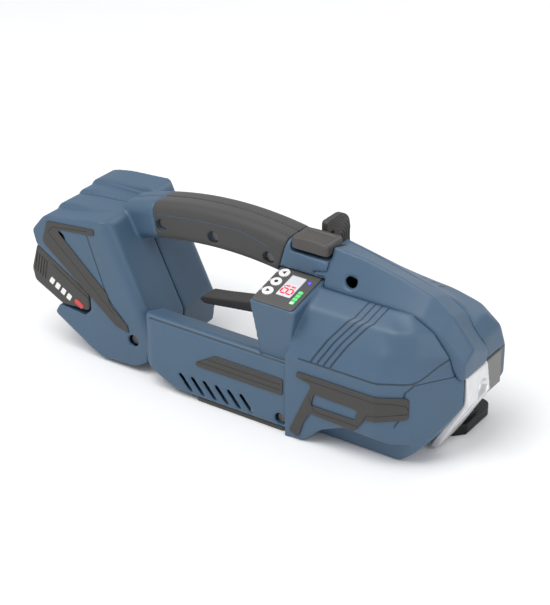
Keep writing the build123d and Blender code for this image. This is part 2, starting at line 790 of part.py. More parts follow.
web_near_y, web_far_y = -19.0, -13.0
crown_near_y = motor_y + pinion_radius + gear_gap
with BuildPart() as gear_frame:
    web_points = [(72, 14), (72, 62), (170, 62), (170, 38), (158, 22), (90, 14)]
    add(slab(side_face(web_points, [2, 6, 6, 4, 8, 6]), web_near_y, web_far_y))
    add(box(160, nose_x - 5, web_far_y - 1, nose_near_y + 3, 48, 62))
    add(nose_block)
    add(along_y(cross_x, motor_z, 9, web_near_y - 1, web_far_y + 1), mode=Mode.SUBTRACT)
    add(along_y(weld_x, weld_z, 8, web_near_y - 1, web_far_y + 1), mode=Mode.SUBTRACT)
save(gear_frame, "gear_frame")

with BuildPart() as cross_bearing:
    add(along_y(cross_x, motor_z, 9, web_near_y, web_far_y))
    add(along_y(cross_x, motor_z, cross_shaft_radius + running, web_near_y - 1, web_far_y + 1),
        mode=Mode.SUBTRACT)
save(cross_bearing, "cross_bearing")

with BuildPart() as weld_bearing:
    add(along_y(weld_x, weld_z, 8, web_near_y, web_far_y))
    add(along_y(weld_x, weld_z, cross_shaft_radius + running, web_near_y - 1, web_far_y + 1),
        mode=Mode.SUBTRACT)
save(weld_bearing, "weld_bearing")

pulley_near_y, pulley_far_y = 40.5, 46.0
with BuildPart() as cross_shaft:
    add(along_y(cross_x, motor_z, cross_shaft_radius, crown_near_y, pulley_far_y))
save(cross_shaft, "cross_shaft")

with BuildPart() as crown_wheel:
    add(along_y(cross_x, motor_z, crown_radius, crown_near_y, crown_near_y + 5.5))
    add(along_y(cross_x, motor_z, cross_shaft_radius, crown_near_y - 1, crown_near_y + 7), mode=Mode.SUBTRACT)
save(crown_wheel, "crown_wheel")

gear_near_y, gear_far_y = 8.0, 16.0


def spur_gear(x, z, pitch_radius, bore, teeth):
    """A plain spur gear parallel to Y, its teeth shortened to run clear."""
    with BuildPart() as gear:
        add(along_y(x, z, pitch_radius - 1.2, gear_near_y, gear_far_y))
        with BuildSketch(Plane.XZ.offset(-gear_far_y)):
            with Locations((x, z)):
                with PolarLocations(pitch_radius - 1.2, teeth):
                    Rectangle(2.4, math.pi * pitch_radius / teeth * 0.8)
        extrude(amount=gear_far_y - gear_near_y)
        add(along_y(x, z, bore, gear_near_y - 1, gear_far_y + 1), mode=Mode.SUBTRACT)
    return gear.part


with BuildPart() as drive_gear:
    add(spur_gear(cross_x, motor_z, drive_gear_radius, cross_shaft_radius, 12))
save(drive_gear, "drive_gear")

with BuildPart() as drive_pulley:
    add(along_y(cross_x, motor_z, pulley_radius, pulley_near_y, pulley_far_y))
    add(along_y(cross_x, motor_z, cross_shaft_radius, pulley_near_y - 1, pulley_far_y + 1),
        mode=Mode.SUBTRACT)
save(drive_pulley, "drive_pulley")

with BuildPart() as feed_rocker:
    with BuildSketch(Plane.XZ.offset(-4)):
        with BuildLine():
            Polyline((cross_x, motor_z + 11), (feed_x, motor_z + 10), (feed_x, motor_z - 10),
                     (cross_x, motor_z - 11), close=True)
        make_face()
        with Locations((cross_x, motor_z)):
            Circle(11)
        with Locations((feed_x, motor_z)):
            Circle(10)
    extrude(amount=5)
    add(along_y(cross_x, motor_z, cross_shaft_radius + running, -2, 5), mode=Mode.SUBTRACT)
save(feed_rocker, "feed_rocker")

feed_axle_radius = 4.5
with BuildPart() as feed_axle:
    add(along_y(feed_x, motor_z, feed_axle_radius, 4, strap_y + strap_width / 2))
save(feed_axle, "feed_axle")

with BuildPart() as feed_gear:
    add(spur_gear(feed_x, motor_z, feed_gear_radius, feed_axle_radius, 30))
save(feed_gear, "feed_gear")

with BuildPart() as feed_wheel:
    add(along_y(feed_x, motor_z, feed_wheel_radius, strap_y - strap_width / 2, strap_y + strap_width / 2))
    add(along_y(feed_x, motor_z, feed_axle_radius, strap_y - strap_width, strap_y + strap_width),
        mode=Mode.SUBTRACT)
save(feed_wheel, "feed_wheel")

eccentricity = 1.0
with BuildPart() as eccentric_shaft:
    add(along_y(weld_x, weld_z, cross_shaft_radius, web_near_y, pulley_far_y))
    add(along_y(weld_x + eccentricity, weld_z, cross_shaft_radius + 1.5, strap_y - 8, strap_y + 8))
    add(along_y(weld_x, weld_z, pulley_radius, pulley_near_y, pulley_far_y))
save(eccentric_shaft, "eccentric_shaft")

with BuildPart() as drive_belt:
    belt_angle = math.atan2(weld_z - motor_z, weld_x - cross_x)
    belt_span = math.hypot(weld_x - cross_x, weld_z - motor_z)
    belt_plane = Plane(origin=((cross_x + weld_x) / 2, pulley_far_y - 0.5, (motor_z + weld_z) / 2),
                       x_dir=(math.cos(belt_angle), 0, math.sin(belt_angle)), z_dir=(0, -1, 0))
    with BuildSketch(belt_plane):
        SlotCenterToCenter(belt_span, 2 * (pulley_radius + fit + belt_thickness))
        SlotCenterToCenter(belt_span, 2 * (pulley_radius + fit), mode=Mode.SUBTRACT)
    extrude(amount=pulley_far_y - pulley_near_y - 1)
save(drive_belt, "drive_belt")

weld_gap = 3.5
with BuildPart() as weld_plate:
    weld_low = sole_z + gripper_thickness + weld_gap
    add(box(weld_x - 11, weld_x + 11, strap_y - 7, strap_y + 7, weld_low, weld_z + 11))
    add(along_y(weld_x, weld_z, cross_shaft_radius + 4, strap_y - 8, strap_y + 8), mode=Mode.SUBTRACT)
save(weld_plate, "weld_plate")

with BuildPart() as cutter_blade:
    add(box(weld_x - 14.5, weld_x - 12.5, strap_y - 8, strap_y + 8, weld_low + 1, 44))
save(cutter_blade, "cutter_blade")

with BuildPart() as sole_plate:
    with BuildSketch(Plane.XY):
        with BuildLine():
            FilletPolyline((76, 11), (164, 11), (172, 20), (172, sole_far_y), (76, sole_far_y - 5),
                           radius=[2, 6, 4, 8, 4], close=True)
        make_face()
    extrude(amount=sole_z)
    add(box(72, 82, web_near_y, 20, 5, 13.9))
    add(nose_block, mode=Mode.SUBTRACT)
save(sole_plate, "sole_plate")

with BuildPart() as lower_gripper:
    add(box(feed_x - 12, feed_x + 12, strap_y - 9, strap_y + 9, sole_z, sole_z + gripper_thickness))
save(lower_gripper, "lower_gripper")

with BuildPart() as lower_weld_pad:
    add(box(weld_x - 10, weld_x + 10, strap_y - 9, strap_y + 9, sole_z, sole_z + gripper_thickness))
save(lower_weld_pad, "lower_weld_pad")

with BuildPart() as nose_insert:
    add(box(nose_x - 2, nose_x + 0.6, nose_far_edge, nose_far_edge + 21, 42, belt_z))
save(nose_insert, "nose_insert")

# ---------------------------------------------------------------------------
# Levers and fasteners
# ---------------------------------------------------------------------------

with BuildPart() as rocker_lever:
    lever_points = [(-50, 60), (-45, 57), (-18, 60.5), (10, 64), (lever_x, 67.5), (lever_x, 76.5), (40, 75),
                    (0, 71.5), (-30, 66), (-46, 63.5)]
    lever_radii = [1, 2, 20, 30, 1, 1, 30, 20, 20, 2]
    add(slab(side_face(lever_points, lever_radii), -lever_half, lever_half))
    add(along_y(lever_x, lever_z, lever_hub_radius, -lever_half, lever_half))
    add(along_y(lever_x, lever_z, lever_pin_radius + running, -lever_half - 1, lever_half + 1),
        mode=Mode.SUBTRACT)
save(rocker_lever, "rocker_lever")

with BuildPart() as lever_pin:
    add(along_y(lever_x, lever_z, lever_pin_radius, -lever_half - 6, lever_half + 6))
save(lever_pin, "lever_pin")

with BuildPart() as release_lever:
    with BuildSketch(Plane.YZ.offset(paddle_rear_x)):
        with BuildLine():
            FilletPolyline((handle_half + 1.5, 106), (handle_half + 1.5, paddle_tongue_z),
                           (9, paddle_tongue_z), (9, 146), (41, 146), (41, 112),
                           radius=[3, 1, 2, 2, 15, 8], close=True)
        make_face()
    extrude(amount=paddle_thickness)
    add(box(paddle_rear_x + 2, paddle_x, paddle_y - 6, paddle_y + 6, paddle_z - 3, paddle_z + 3))
    add(along_y(paddle_x, paddle_z, 2 * paddle_pin_radius, paddle_y - 6, paddle_y + 6))
    add(along_y(paddle_x, paddle_z, paddle_pin_radius + running, paddle_y - 7, paddle_y + 7),
        mode=Mode.SUBTRACT)
save(release_lever, "release_lever")

with BuildPart() as release_pin:
    add(along_y(paddle_x, paddle_z, paddle_pin_radius, paddle_y - 9, paddle_y + 9))
save(release_pin, "release_pin")

with BuildPart() as housing_screws:
    for x, z, near_reach, far_reach in screw_places:
        add(along_y(x, z, screw_head_radius, wall + 1 - near_reach, wall + 4 - near_reach))
        add(along_y(x, z, screw_radius, wall + 4 - near_reach, far_reach - wall - 5))
save(housing_screws, "housing_screws")
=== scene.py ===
import json
import math

import bmesh
import bpy
import numpy as np
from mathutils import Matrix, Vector


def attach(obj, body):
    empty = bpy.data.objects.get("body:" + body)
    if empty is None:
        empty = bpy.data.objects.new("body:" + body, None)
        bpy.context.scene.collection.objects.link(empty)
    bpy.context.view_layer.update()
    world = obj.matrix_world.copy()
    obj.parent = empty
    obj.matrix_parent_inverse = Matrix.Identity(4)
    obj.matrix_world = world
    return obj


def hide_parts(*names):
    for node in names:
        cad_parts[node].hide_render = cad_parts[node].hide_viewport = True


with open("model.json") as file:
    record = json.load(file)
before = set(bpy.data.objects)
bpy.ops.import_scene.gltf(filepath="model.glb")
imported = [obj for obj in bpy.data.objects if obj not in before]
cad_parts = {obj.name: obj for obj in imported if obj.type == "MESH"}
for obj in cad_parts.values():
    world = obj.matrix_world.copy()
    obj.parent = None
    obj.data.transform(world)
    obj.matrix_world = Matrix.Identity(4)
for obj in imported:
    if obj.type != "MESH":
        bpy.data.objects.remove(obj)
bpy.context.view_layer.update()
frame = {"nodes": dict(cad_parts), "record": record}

bl_info = {
    "name": "Battery Strapping Tool",
    "version": (1, 0, 0),
    "blender": (4, 5, 0),
    "location": "3D View > Sidebar > Strapping Tool",
    "description": "Moulded shells, trims, control panel and finishes of a battery strapping tool",
    "category": "Object",
}

MM = 0.001
SLOTS = {part["node"]: part["material_slot"] for part in frame["record"]["subparts"]}
BODY_OF = {node: body for body, nodes in frame["record"]["behaviour"]["bodies"].items() for node in nodes}
SKIN_LIMIT = 185000

# Places that several pieces share, in millimetres
PANEL_CORNER = (30.4, -55.0, 103.0)
PANEL_SLOPE = math.atan2(11.0, 46.0)
KEY_U, KEY_V, KEY_LIFT = 7.4, (13.3, 24.6, 35.6), 1.8
BATTERY_CORNER = (-181.5, -44.0, 84.7)
BATTERY_ANGLE = math.radians(30.0)
BUTTON_X, BUTTON_Y = 55.5, -5.0
KNOB_Y, KNOB_Z = 25.0, 125.0
SOCKET_LIFT = 1.6


# ---------------------------------------------------------------------------
# Shader building
# ---------------------------------------------------------------------------


class Wire:
    """A shader socket that takes part in Python arithmetic through Math nodes."""

    def __init__(self, finish, socket):
        self.finish, self.socket = finish, socket

    def math(self, operation, *others):
        return self.finish.add("ShaderNodeMath", {"operation": operation}, dict(enumerate((self, *others))))

    def __add__(self, other):
        return self.math("ADD", other)

    def __sub__(self, other):
        return self.math("SUBTRACT", other)

    def __rsub__(self, other):
        return self.math("MULTIPLY_ADD", -1.0, other)

    def __mul__(self, other):
        return self.math("MULTIPLY", other)

    def __truediv__(self, other):
        return self.math("DIVIDE", other)

    def __pow__(self, other):
        return self.math("POWER", other)

    def __abs__(self):
        return self.math("ABSOLUTE")

    def above(self, other):
        return self.math("GREATER_THAN", other)

    def below(self, other):
        return self.math("LESS_THAN", other)

    def larger(self, other):
        return self.math("MAXIMUM", other)

    __radd__ = __add__
    __rmul__ = __mul__


class Finish:
    """A surface finish: one Principled shader whose varying inputs are fed by nodes."""

    def __init__(self, name, **fixed):
        self.material = bpy.data.materials.new(name)
        self.material.use_nodes = True
        self.tree = self.material.node_tree
        self.tree.nodes.clear()
        self.surface = self.tree.nodes.new("ShaderNodeBsdfPrincipled")
        output = self.tree.nodes.new("ShaderNodeOutputMaterial")
        self.tree.links.new(self.surface.outputs["BSDF"], output.inputs["Surface"])
        for key, value in fixed.items():
            self.surface.inputs[key.replace("_", " ")].default_value = value
        place = self.add("ShaderNodeTexCoord", output="Object")
        self.place = self.add("ShaderNodeVectorMath", {"operation": "SCALE"}, {0: place, "Scale": 1 / MM})
        self.x, self.y, self.z = (
            self.add("ShaderNodeSeparateXYZ", {}, {0: self.place}, output=axis) for axis in "XYZ"
        )

    def add(self, kind, settings=None, inputs=None, output=0):
        """One node: its settings first, then the values or links of its sockets."""
        node = self.tree.nodes.new(kind)
        for key, value in (settings or {}).items():
            setattr(node, key, value)
        for key, value in (inputs or {}).items():
            self.feed(node.inputs[key], value)
        return Wire(self, node.outputs[output])

    def feed(self, socket, value):
        if isinstance(value, Wire):
            self.tree.links.new(value.socket, socket)
        else:
            socket.default_value = value

    def set(self, **varying):
        for key, value in varying.items():
            self.feed(self.surface.inputs[key.replace("_", " ")], value)

    def noise(self, scale, detail=2.0, stretch=(1.0, 1.0, 1.0)):
        """Even noise from 0 to 1 with a scale per millimetre."""
        place = self.add("ShaderNodeVectorMath", {"operation": "MULTIPLY"}, {0: self.place, 1: stretch})
        return self.add("ShaderNodeTexNoise", {}, {"Vector": place, "Scale": scale, "Detail": detail})

    def fade(self, value, inner, outer):
        """1 up to inner, 0 from outer, with a soft edge between them."""
        return self.add("ShaderNodeMapRange", {"interpolation_type": "SMOOTHSTEP"},
                        {"Value": value, "From Min": inner, "From Max": outer, "To Min": 1.0, "To Max": 0.0})

    def mix(self, factor, first, second):
        """A colour between two colours."""
        return self.add("ShaderNodeMix", {"data_type": "RGBA"}, {0: factor, 6: first, 7: second}, output=2)

    def stroke(self, across, up, start, end, half_width):
        """1 on a straight line drawn between two points of a plane."""
        run = (end[0] - start[0], end[1] - start[1])
        length = math.hypot(*run)
        right, rise = across - start[0], up - start[1]
        along = (right * run[0] + rise * run[1]) / length
        aside = (rise * run[0] - right * run[1]) / length
        beyond = (along - length).larger(along * -1.0).larger(0.0)
        distance = (aside * aside + beyond * beyond) ** 0.5
        return self.fade(distance, half_width * 0.6, half_width * 1.2)

    def path(self, across, up, points, half_width):
        """1 on a line drawn through several points of a plane."""
        drawn = self.stroke(across, up, points[0], points[1], half_width)
        for start, end in zip(points[1:], points[2:]):
            drawn = drawn.larger(self.stroke(across, up, start, end, half_width))
        return drawn

    def relief(self, height, strength=1.0):
        """A normal from a height in millimetres."""
        sizes = {"Strength": strength, "Distance": MM, "Height": height}
        return self.add("ShaderNodeBump", {}, sizes, output="Normal")


def shade(colour, factor):
    """A colour made lighter or darker."""
    return (*(min(1.0, channel * factor) for channel in colour[:3]), 1.0)


def moulded(name, colour, roughness, grain=1.4, depth=0.035, lines=None, line_depth=0.7, line_colour=None,
            painted_edge_highlight=True, **fixed):
    """Moulded plastic: spark-eroded grain, faint drift of colour, convex edges paled as a painted highlight,
    and cut lines darkened with painted shade.
    """
    finish = Finish(name, **fixed)
    fine, broad = finish.noise(grain, 3.0), finish.noise(0.03, 3.0)
    tint = finish.mix(broad, shade(colour, 0.9), shade(colour, 1.1))
    height = fine * depth
    if painted_edge_highlight:
        # Painted highlight: convex edges, found by their pointiness, are lightened in patches of noise.
        bend = finish.add("ShaderNodeNewGeometry", output="Pointiness")
        edge = 1.0 - finish.fade(bend, 0.52, 0.62)
        tint = finish.mix(edge * finish.noise(0.4, 4.0) * 0.5, tint, shade(colour, 1.9))
    if lines:
        cut = lines(finish)
        # Painted shade: by default the cut lines take a darkened copy of the surface colour for the shade
        # inside the grooves; a given line colour is used instead.
        tint = finish.mix(cut * 0.8, tint, line_colour or shade(colour, 0.2))
        height = height - cut * line_depth
    finish.set(Base_Color=tint, Roughness=broad * 0.12 + fine * 0.06 + (roughness - 0.09),
               Normal=finish.relief(height))
    return finish.material


def metal(name, colour, roughness, stretch=(0.05, 1.0, 1.0), scale=2.0, depth=0.01, **fixed):
    """Worked metal: fine machining lines, faint stains and varied gloss."""
    finish = Finish(name, Metallic=1.0, **fixed)
    lines, stain = finish.noise(scale, 2.0, stretch), finish.noise(0.08, 4.0)
    finish.set(Base_Color=finish.mix(stain, shade(colour, 0.8), shade(colour, 1.12)),
               Roughness=lines * 0.15 + stain * 0.12 + (roughness - 0.13),
               Normal=finish.relief(lines * depth))
    return finish.material


def glowing(name, colour, strength, roughness=0.3):
    """A small lit window whose brightness varies with a faint grain."""
    finish = Finish(name, Emission_Strength=strength)
    grain = finish.noise(2.0, 2.0)
    lit = finish.mix(grain, shade(colour, 0.85), shade(colour, 1.15))
    finish.set(Base_Color=lit, Emission_Color=lit, Roughness=grain * 0.1 + (roughness - 0.05))
    return finish.material


# ---------------------------------------------------------------------------
# Mesh building
# ---------------------------------------------------------------------------


def new_piece(name, mesh):
    piece = bpy.data.objects.new(name, mesh)
    bpy.context.scene.collection.objects.link(piece)
    return piece


def merged(*nodes):
    """CAD solids as one mesh with its doubles merged."""
    solid = bmesh.new()
    for node in nodes:
        solid.from_mesh(frame["nodes"][node].data)
    bmesh.ops.remove_doubles(solid, verts=solid.verts, dist=1e-6)
    mesh = bpy.data.meshes.new(nodes[0] + "_solid")
    solid.to_mesh(mesh)
    solid.free()
    return mesh


def settle(piece):
    """Turns a piece and its modifiers into a plain mesh."""
    bpy.context.view_layer.update()
    graph = bpy.context.evaluated_depsgraph_get()
    mesh = bpy.data.meshes.new_from_object(piece.evaluated_get(graph))
    piece.modifiers.clear()
    piece.data = mesh


def points_of(mesh):
    points = np.empty(len(mesh.vertices) * 3)
    mesh.vertices.foreach_get("co", points)
    return points.reshape(-1, 3) / MM


def normals_of(mesh):
    normals = np.empty(len(mesh.vertices) * 3, np.float32)
    mesh.vertex_normals.foreach_get("vector", normals)
    return normals.reshape(-1, 3)


def place_points(mesh, points):
    mesh.vertices.foreach_set("co", (points * MM).ravel().astype(np.float32))
    mesh.update()


def relax(points, edges, rounds, rate):
    """Moves every point towards the middle of its neighbours, each at its own rate."""
    total = len(points)
    near, far = edges[:, 0], edges[:, 1]
    count = np.maximum(np.bincount(edges.ravel(), minlength=total), 1)
    for _ in range(rounds):
        middle = np.stack([
            (np.bincount(near, values[far], total) + np.bincount(far, values[near], total)) / count
            for values in points.T], axis=1)
        points = points + rate[:, None] * (middle - points)
    return points


def ramp(value, start, end):
    """0 before start and 1 after end, with a smooth rise between them."""
    share = np.clip((value - start) / (end - start), 0.0, 1.0)
    return share * share * (3.0 - 2.0 * share)


def eased(name, nodes, voxel, rounds, hold=None, carve=None):
    """A moulded copy of CAD solids: one even skin with its corners eased and its reliefs pressed in."""
    piece = new_piece(name, merged(*nodes))
    skin = piece.modifiers.new("Skin", "REMESH")
    skin.mode, skin.voxel_size, skin.use_smooth_shade = "VOXEL", voxel * MM, True
    settle(piece)
    mesh = piece.data
    points = points_of(mesh)
    edges = np.empty(len(mesh.edges) * 2, np.int32)
    mesh.edges.foreach_get("vertices", edges)
    rate = np.full(len(points), 0.5)
    if hold:
        rate = rate * hold(*points.T)
    points = relax(points, edges.reshape(-1, 2), rounds, rate)
    place_points(mesh, points)
    if carve:
        place_points(mesh, points + carve(points, normals_of(mesh)))
    triangles = 2 * len(mesh.polygons)
    if triangles > SKIN_LIMIT:
        thin = piece.modifiers.new("Thin", "DECIMATE")
        thin.ratio = SKIN_LIMIT / triangles
        settle(piece)
    return piece


def finish_piece(piece, material, node, *others, slot=None):
    """Gives a piece its material and ties it to the CAD nodes that it stands for."""
    piece.data.materials.clear()
    piece.data.materials.append(material)
    for face in piece.data.polygons:
        face.use_smooth = True
    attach(piece, BODY_OF[node])
    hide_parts(node, *others)
    return piece


def add_detail(piece, material, body):
    """Gives a piece that stands for no CAD node its material and its body."""
    piece.data.materials.clear()
    piece.data.materials.append(material)
    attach(piece, body)
    return piece


def prism(name, outlines, place, low, high, bevel=0.0):
    """Flat outlines raised from low to high, where place(u, v, lift) gives the point in space."""
    solid = bmesh.new()
    for outline in outlines:
        bottom = [solid.verts.new(Vector(place(u, v, low)) * MM) for u, v in outline]
        top = [solid.verts.new(Vector(place(u, v, high)) * MM) for u, v in outline]
        solid.faces.new(bottom[::-1])
        solid.faces.new(top)
        for index in range(len(outline)):
            after = (index + 1) % len(outline)
            solid.faces.new((bottom[index], bottom[after], top[after], top[index]))
    bmesh.ops.recalc_face_normals(solid, faces=solid.faces)
    mesh = bpy.data.meshes.new(name)
    solid.to_mesh(mesh)
    solid.free()
    piece = new_piece(name, mesh)
    if bevel:
        edge = piece.modifiers.new("Edge", "BEVEL")
        edge.width, edge.segments, edge.limit_method = bevel * MM, 2, "ANGLE"
        settle(piece)
    return piece


def rounded(points, radius, steps=5):
    """A closed outline with its corners turned into arcs."""
    outline = []
    for index, corner in enumerate(points):
        before, after = Vector(points[index - 1]), Vector(points[(index + 1) % len(points)])
        corner = Vector(corner)
        back, ahead = (before - corner).normalized(), (after - corner).normalized()
        reach = min(radius, (before - corner).length / 2.1, (after - corner).length / 2.1)
        first, last = corner + back * reach, corner + ahead * reach
        for step in range(steps + 1):
            share = step / steps
            outline.append(tuple((first.lerp(corner, share)).lerp(corner.lerp(last, share), share)))
    return outline


def rectangle(u0, u1, v0, v1):
    return [(u0, v0), (u1, v0), (u1, v1), (u0, v1)]


def disc(u, v, radius, steps=32):
    return [(u + radius * math.cos(math.tau * k / steps), v + radius * math.sin(math.tau * k / steps))
            for k in range(steps)]


# ---------------------------------------------------------------------------
# Geometry nodes
# ---------------------------------------------------------------------------


class Web:
    """A geometry node tree built one node at a time."""

    def __init__(self, name, sizes):
        self.tree = bpy.data.node_groups.new(name, "GeometryNodeTree")
        self.tree.interface.new_socket("Geometry", in_out="INPUT", socket_type="NodeSocketGeometry")
        self.tree.interface.new_socket("Geometry", in_out="OUTPUT", socket_type="NodeSocketGeometry")
        for label, kind in sizes.items():
            self.tree.interface.new_socket(label, in_out="INPUT", socket_type=kind)
        self.source = self.tree.nodes.new("NodeGroupInput")
        self.result = self.tree.nodes.new("NodeGroupOutput")

    def add(self, kind, settings=None, inputs=None):
        node = self.tree.nodes.new(kind)
        for key, value in (settings or {}).items():
            setattr(node, key, value)
        for key, value in (inputs or {}).items():
            if isinstance(value, bpy.types.NodeSocket):
                self.tree.links.new(value, node.inputs[key])
            else:
                node.inputs[key].default_value = value
        return node

    def close(self, instances, material):
        real = self.add("GeometryNodeRealizeInstances", {}, {0: instances})
        painted = self.add("GeometryNodeSetMaterial", {}, {"Geometry": real.outputs[0], "Material": material})
        self.tree.links.new(painted.outputs[0], self.result.inputs[0])

    def grow(self, name, mesh, bevel=0.0, **values):
        """A piece made by the tree, as a plain mesh."""
        piece = new_piece(name, mesh)
        modifier = piece.modifiers.new("Grow", "NODES")
        modifier.node_group = self.tree
        for item in self.tree.interface.items_tree:
            label = item.name.replace(" ", "_").lower()
            if item.in_out == "INPUT" and label in values:
                modifier[item.identifier] = values[label]
        if bevel:
            edge = piece.modifiers.new("Edge", "BEVEL")
            edge.width, edge.segments, edge.limit_method = bevel * MM, 2, "ANGLE"
        settle(piece)
        return piece


def bar_row(material):
    """Bars of one size in a straight row."""
    web = Web("Bar row", {"Count": "NodeSocketInt", "Start": "NodeSocketVector", "Step": "NodeSocketVector",
                          "Size": "NodeSocketVector", "Turn": "NodeSocketVector"})
    given = web.source.outputs
    line = web.add("GeometryNodeMeshLine", {"mode": "OFFSET"},
                   {"Count": given["Count"], "Start Location": given["Start"], "Offset": given["Step"]})
    bar = web.add("GeometryNodeMeshCube", {}, {"Size": given["Size"]})
    turn = web.add("FunctionNodeEulerToRotation", {}, {0: given["Turn"]})
    spread = web.add("GeometryNodeInstanceOnPoints", {},
                     {"Points": line.outputs[0], "Instance": bar.outputs[0], "Rotation": turn.outputs[0]})
    web.close(spread.outputs[0], material)
    return web


def screw_set(material):
    """Socket-headed screws, one on each point of a mesh, all facing -Y."""
    web = Web("Screw set", {"Head Radius": "NodeSocketFloat", "Head Height": "NodeSocketFloat",
                            "Socket Radius": "NodeSocketFloat"})
    given = web.source.outputs
    head = web.add("GeometryNodeMeshCylinder", {"fill_type": "NGON"},
                   {"Vertices": 40, "Radius": given["Head Radius"], "Depth": given["Head Height"]})
    socket = web.add("GeometryNodeMeshCylinder", {"fill_type": "NGON"},
                     {"Vertices": 6, "Radius": given["Socket Radius"], "Depth": given["Head Height"]})
    raised = web.add("GeometryNodeTransform", {},
                     {"Geometry": socket.outputs[0], "Translation": (0, 0, SOCKET_LIFT * MM)})
    cut = web.add("GeometryNodeMeshBoolean", {"operation": "DIFFERENCE"},
                  {0: head.outputs[0], 1: raised.outputs[0]})
    spread = web.add("GeometryNodeInstanceOnPoints", {},
                     {"Points": given["Geometry"], "Instance": cut.outputs[0],
                      "Rotation": (math.pi / 2, 0, 0)})
    web.close(spread.outputs[0], material)
    return web


# ---------------------------------------------------------------------------
# Sizes and colours that a user would change
# ---------------------------------------------------------------------------


def colour_property(name, description, default):
    return bpy.props.FloatVectorProperty(name=name, description=description, default=default, size=4,
                                         min=0.0, max=1.0, subtype="COLOR")


class StrapToolShellSettings(bpy.types.PropertyGroup):
    blue: colour_property("Blue", "Colour of the moulded housing", (0.052, 0.102, 0.165, 1.0))
    roughness: bpy.props.FloatProperty(name="Roughness", description="Roughness of the housing", default=0.46,
                                       min=0.0, max=1.0, subtype="FACTOR")
    voxel: bpy.props.FloatProperty(name="Skin step", description="Size of the skin's cells in millimetres",
                                   default=0.95, min=0.4, max=3.0)
    rounds: bpy.props.IntProperty(name="Easing", description="How far the corners are rounded", default=6,
                                  min=0)
    head_rounds: bpy.props.IntProperty(name="Head easing", default=40, min=0,
                                       description="How far the head's facets are rounded")


class StrapToolTrimSettings(bpy.types.PropertyGroup):
    black: colour_property("Black", "Colour of the black mouldings", (0.038, 0.036, 0.034, 1.0))
    grip: colour_property("Grip", "Colour of the soft grip", (0.040, 0.039, 0.038, 1.0))
    grip_roughness: bpy.props.FloatProperty(name="Grip roughness", description="Roughness of the soft grip",
                                            default=0.62, min=0.0, max=1.0, subtype="FACTOR")


class StrapToolPanelSettings(bpy.types.PropertyGroup):
    grey: colour_property("Membrane", "Colour of the panel membrane", (0.085, 0.085, 0.085, 1.0))
    white: colour_property("White", "Colour of the keys and print", (0.80, 0.80, 0.78, 1.0))
    red: colour_property("Digits", "Colour of the lit digits", (0.62, 0.03, 0.04, 1.0))
    green: colour_property("Gauge", "Colour of the charge gauge", (0.12, 0.62, 0.20, 1.0))


class StrapToolStageSettings(bpy.types.PropertyGroup):
    floor: colour_property("Floor", "Colour of the floor", (0.90, 0.90, 0.90, 1.0))
    key_power: bpy.props.FloatProperty(name="Key light", description="Power of the main light in watts",
                                       default=24.0, min=0.0)
    world: bpy.props.FloatProperty(name="Sky", description="Strength of the even light", default=0.62,
                                   min=0.0)


# ---------------------------------------------------------------------------
# Cut lines of the housing
# ---------------------------------------------------------------------------


def housing_lines(finish):
    """Seams of the rear block and the belly."""
    near = finish.y.below(-43.0)
    panel = finish.path(finish.x, finish.z, [(-129.5, 107), (-111.5, 58), (-92.5, 38)], 0.6)
    belly = finish.stroke(finish.x, finish.z, (-64, 58.5), (60, 58.5), 0.45) * finish.y.below(-50.0)
    return (panel * near).larger(belly)


def near_head_lines(finish):
    """The belt groove, the four dome grooves and the cheek panel of the near head cover."""
    turn = 1.0 - finish.fade(finish.y, -46.0, -16.0)
    belt = finish.fade(abs(finish.z - turn * 17.0 - 68.5), 0.35, 0.8) * finish.x.above(73.0)
    lines = belt
    for shift in (0.0, 5.4, 10.8, 16.2):
        groove = [(112.5 + shift, -15), (107.5 + shift, -36), (81 + shift, -58)]
        lines = lines.larger(finish.path(finish.x, finish.y, groove, 0.5) * finish.z.above(68.5))
    cheek = finish.path(finish.y, finish.z, [(-17, 72), (-42, 68), (-45.5, 62), (-46.5, 42), (-52, 24)], 0.4)
    return lines.larger(cheek * finish.x.above(150.0)) * finish.y.below(-16.5)


def far_head_lines(finish):
    """The short roof grooves and the belt groove of the far head cover."""
    lines = finish.fade(abs(finish.z - 70.0), 0.35, 0.8)
    roof = finish.fade(abs(finish.y - 30.0), 5.0, 5.6) * finish.z.above(86.0)
    for place in (119.0, 126.0, 133.0, 140.0):
        lines = lines.larger(finish.fade(abs(finish.x - place), 0.4, 0.8) * roof)
    return lines


def trim_lines(finish):
    """The long groove in the diagonal bar of the rear trim."""
    return finish.path(finish.x, finish.z, [(-128, 110.5), (-163, 105.5), (-168, 100), (-104, 45)], 0.35)


def bumper_lines(finish):
    """The fine line that follows the edge of the side bumper."""
    edge = [(78, 54), (150, 53.5), (158, 52), (160, 46), (132, 41.5), (126, 30), (88, 30), (84, 40)]
    return finish.path(finish.x, finish.z, edge, 0.35)


def accent_lines(finish):
    """Two grooves in the belly accent."""
    return finish.stroke(finish.x, finish.z, (-12, 41), (57, 41), 0.4).larger(
        finish.stroke(finish.x, finish.z, (-18, 36.5), (57, 36.5), 0.4))


def grip_lines(finish):
    """The thin slot line along the side of the grip."""
    return finish.path(finish.x, finish.z, [(-82, 127), (-41, 132), (-4, 133.5), (21, 127.6)], 0.5)


# ---------------------------------------------------------------------------
# Pressed reliefs
# ---------------------------------------------------------------------------


def fan_steps(points, normals):
    """The steps on top of the rear block, which climb to the far side and fade out towards the handle."""
    x, y, z = points.T
    share = ramp(-x, 108, 165)
    rise = share * (3.5 * ramp(y, -23.5, -21) + 2.5 * ramp(y, 1.5, 4)) + (5 - 2 * share) * ramp(y, 17.5, 20)
    move = np.zeros_like(points)
    move[:, 2] = rise * ramp(z, 98, 116) * (x < -95)
    return move


